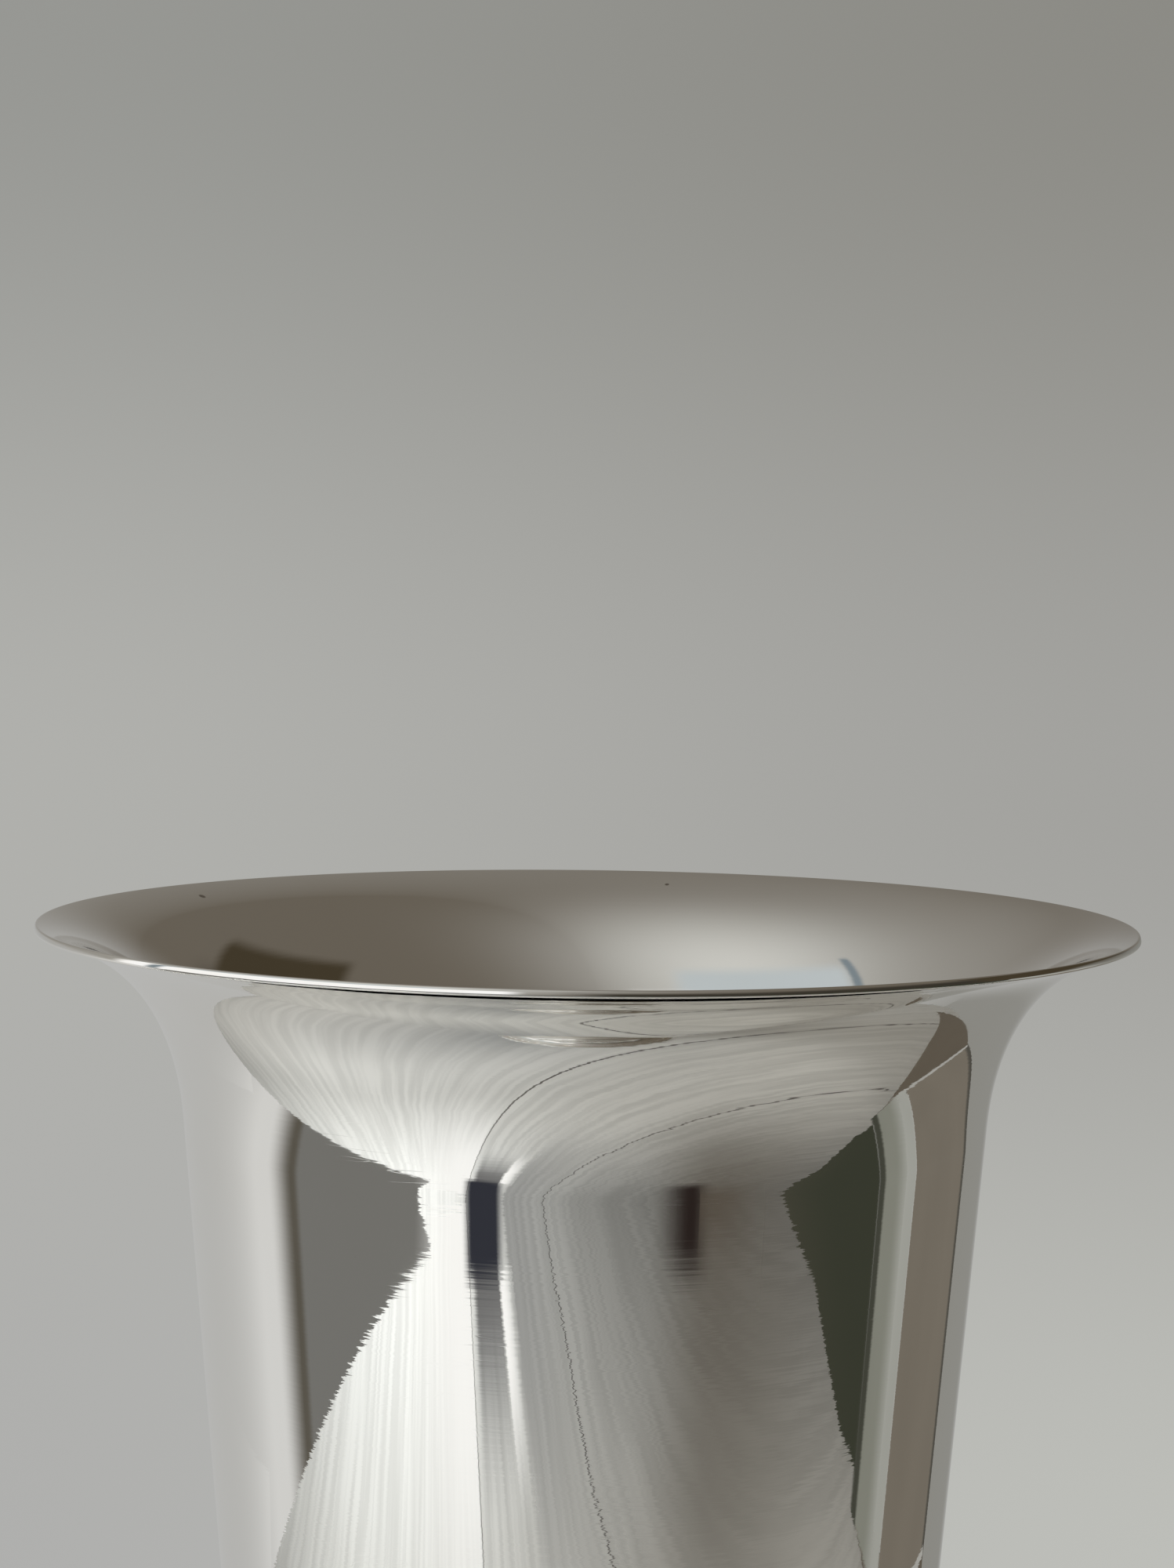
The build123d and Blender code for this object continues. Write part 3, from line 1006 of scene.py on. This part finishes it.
def table_top():
    """Pale boards with a faint grain and seams, with painted light at the vase's left and a painted shadow at
    its right.
    """
    material, tree = new_material("table_boards")
    where = place(tree)
    axes = axes_of(tree, where)
    across = dot(tree, where, board_across)
    along = dot(tree, where, board_along)
    wave = noise(tree, joined(tree, (across, along), board_wave))
    wavy = raised(tree, across, calculate(tree, "SUBTRACT", wave, board_wave_level), board_wave_reach)
    grain = noise(tree, joined(tree, (wavy, along), board_grain), detail=board_grain_detail)
    # Painted light: the boards turn lighter near the vase's left
    lit = ease(tree, distance(tree, where, table_lit_middle), *table_lit_reach, 1.0, 0.0)
    lit = calculate(tree, "MULTIPLY", lit, ease(tree, axes["X"], *table_lit_side, 1.0, 0.0))
    dark = blend(tree, lit, table_dark, table_lit_dark)
    light = blend(tree, lit, table_light, table_lit_light)
    colour = blend(tree, ease(tree, grain, *board_grain_limits), dark, light)
    # Painted shadow of the vase at its right and back
    shade = ease(tree, axes["X"], *table_shade_side, 0.0, table_shade_share)
    shade = calculate(tree, "MULTIPLY", shade, ease(tree, axes["Y"], *table_shade_back))
    colour = blend(tree, shade, colour, table_shade_colour)
    for seam_at, seam_across in zip(board_seams, (across, wavy)):
        off_seam = calculate(tree, "ABSOLUTE", calculate(tree, "SUBTRACT", seam_across, seam_at))
        seam = ease(tree, off_seam, board_seam_width / 2, board_seam_width, 1.0, 0.0)
        colour = blend(tree, seam, colour, table_seam_colour)
    matt(tree, colour)
    return material


def floor_paint():
    """A plain pale floor that fades into the backdrop."""
    material, tree = new_material("floor_paint")
    where = place(tree)
    radius = axis_distance(tree, axes_of(tree, where))
    colour = blend(tree, noise(tree, where, floor_mottle_scale), floor_dark, floor_light)
    see_through(tree, matt(tree, colour), ease(tree, radius, floor_fade_start, floor_radius, 1.0, 0.0))
    return material


def disc(middle, radius):
    """The corners of a round face on the ground."""
    corners = []
    for index in range(disc_segments):
        angle = 2 * pi * index / disc_segments
        corners.append((middle[0] + radius * cos(angle), middle[1] + radius * sin(angle), 0.0))
    return corners


def wall_tone(tree, axes):
    """The wall's colour: painted light at the left as the vase sees it, and painted shade behind the vase's
    right.
    """
    slant = calculate(tree, "DIVIDE", axes["X"], axes["Y"])
    colour = blend(tree, ease(tree, slant, *wall_slants), wall_left, wall_middle)
    colour = blend(tree, ease(tree, axes["X"], *wall_shade_reach), colour, wall_shade)
    return blend(tree, ease(tree, axes["X"], *wall_right_reach), colour, wall_right)


def ground_paint():
    """The ground behind the table, which goes on from the wall, with the wall's painted light and shade."""
    material, tree = new_material("ground_paint")
    shown_as(tree, wall_tone(tree, axes_of(tree, place(tree))))
    return material


def wall_paint():
    """The wall, lost in the dark above."""
    material, tree = new_material("wall_paint")
    axes = axes_of(tree, place(tree))
    shown_as(tree, wall_tone(tree, axes), ease(tree, axes["Z"], wall_fade_start, wall_high, 1.0, 0.0))
    return material


flat_face("floor", disc((0.0, 0.0), floor_radius), floor_paint(), not_in_mirror)
boards = table_top()
flat_face("table", disc(table_middle, table_radius), boards)
flat_face("front_board", [(*corner, -board_drop) for corner in front_board], boards)
flat_face("side_board", [(*corner, -2 * board_drop) for corner in side_board], boards)
wall_corners = [
    (-wall_half_width, wall_distance, wall_low),
    (wall_half_width, wall_distance, wall_low),
    (wall_half_width, wall_distance, wall_high),
    (-wall_half_width, wall_distance, wall_high),
]
flat_face("wall", wall_corners, wall_paint())
flat_face("back_card", [(*corner, -board_drop) for corner in back_card], ground_paint())
flat_card("corner_card", corner_card, corner_lift, corner_colour)
flat_card("corner_edge", corner_edge, corner_edge_lift, corner_edge_colour)
# Painted light and painted shade laid on the table
for name, strip in board_strips.items():
    board_strip(name, *strip)
laid_strip("right_shade", *right_shade)
for name, card in upright_cards.items():
    upright_card(name, *card)

for name, (spot, size, power, colour) in lamps.items():
    lamp = bpy.data.objects.new(name, bpy.data.lights.new(name, "AREA"))
    lamp.data.shape = "DISK"
    lamp.data.size = size
    lamp.data.energy = power
    lamp.data.color = colour
    lamp.location = spot
    lamp.visible_camera = False
    lamp.visible_glossy = False
    bpy.context.scene.collection.objects.link(lamp)


def panel(tree, turn, rise, reach):
    """One inside a panel of the surroundings, given by directions in degrees, and zero outside it."""
    middle, half_width, top, soft = (radians(part) for part in reach)
    from_middle = calculate(tree, "ABSOLUTE", calculate(tree, "SUBTRACT", turn, middle))
    sides = ease(tree, from_middle, half_width - soft, half_width + soft, 1.0, 0.0)
    below = ease(tree, rise, top - soft, top + soft, 1.0, 0.0)
    return calculate(tree, "MULTIPLY", sides, below)


def surroundings():
    """The world: a pale grey backdrop for the camera, a dim room with one soft window for reflections."""
    world = bpy.data.worlds.new("studio")
    world.use_nodes = True
    tree = world.node_tree
    way = tree.nodes.new("ShaderNodeTexCoord").outputs["Generated"]
    axes = axes_of(tree, way)
    across, up = axes["X"], axes["Z"]
    to_right = ease(tree, across, *backdrop_sides)
    bands = (backdrop_top, backdrop_middle, backdrop_low)
    top, middle, low = (blend(tree, to_right, *pair) for pair in bands)
    backdrop = blend(tree, ease(tree, up, *backdrop_rise), middle, top)
    backdrop = blend(tree, ease(tree, up, *backdrop_fall), low, backdrop)

    turn = calculate(tree, "ARCTAN2", across, calculate(tree, "MULTIPLY", axes["Y"], -1.0))
    rise = calculate(tree, "ARCSINE", up)
    facing = calculate(tree, "MAXIMUM", dot(tree, way, glow_direction), 0.0)
    glow = calculate(tree, "MULTIPLY", calculate(tree, "POWER", facing, glow_power), glow_share)
    hazy = calculate(tree, "MAXIMUM", dot(tree, way, haze_direction), 0.0)
    glow = raised(tree, glow, calculate(tree, "POWER", hazy, haze_power), haze_glow_share)
    room = blend(tree, glow, ceiling_colour, glow_colour)
    for reach, colour in room_panels.values():
        room = blend(tree, panel(tree, turn, rise, reach), room, colour)
    ground = blend(tree, ease(tree, across, *ground_sides), ground_left, ground_right)
    room = blend(tree, ease(tree, up, *horizon_reach), ground, room)
    path = tree.nodes.new("ShaderNodeLightPath")
    light = blend(tree, path.outputs["Is Glossy Ray"], fill_colour, room)
    light = blend(tree, path.outputs["Is Camera Ray"], light, backdrop)
    tree.links.new(light, tree.nodes["Background"].inputs["Color"])
    return world


bpy.context.scene.world = surroundings()

# Camera
view_angle = radians(camera_yaw)
dip = radians(camera_pitch)
roll = radians(camera_roll)
forward = Vector((sin(view_angle) * cos(dip), cos(view_angle) * cos(dip), -sin(dip)))
level_right = Vector((cos(view_angle), -sin(view_angle), 0.0))
level_up = level_right.cross(forward)
right = level_right * cos(roll) + level_up * sin(roll)
up = level_up * cos(roll) - level_right * sin(roll)
camera = bpy.data.objects.new("camera", bpy.data.cameras.new("camera"))
bpy.context.scene.collection.objects.link(camera)
camera.data.lens = camera_lens
camera.data.sensor_width = sensor_width
camera_place = Matrix.Translation((0.0, -camera_distance, rim_height + camera_above_rim))
camera.matrix_world = camera_place @ Matrix((right, up, -forward)).transposed().to_4x4()
bpy.context.scene.camera = camera
bpy.context.scene.view_settings.view_transform = "Standard"
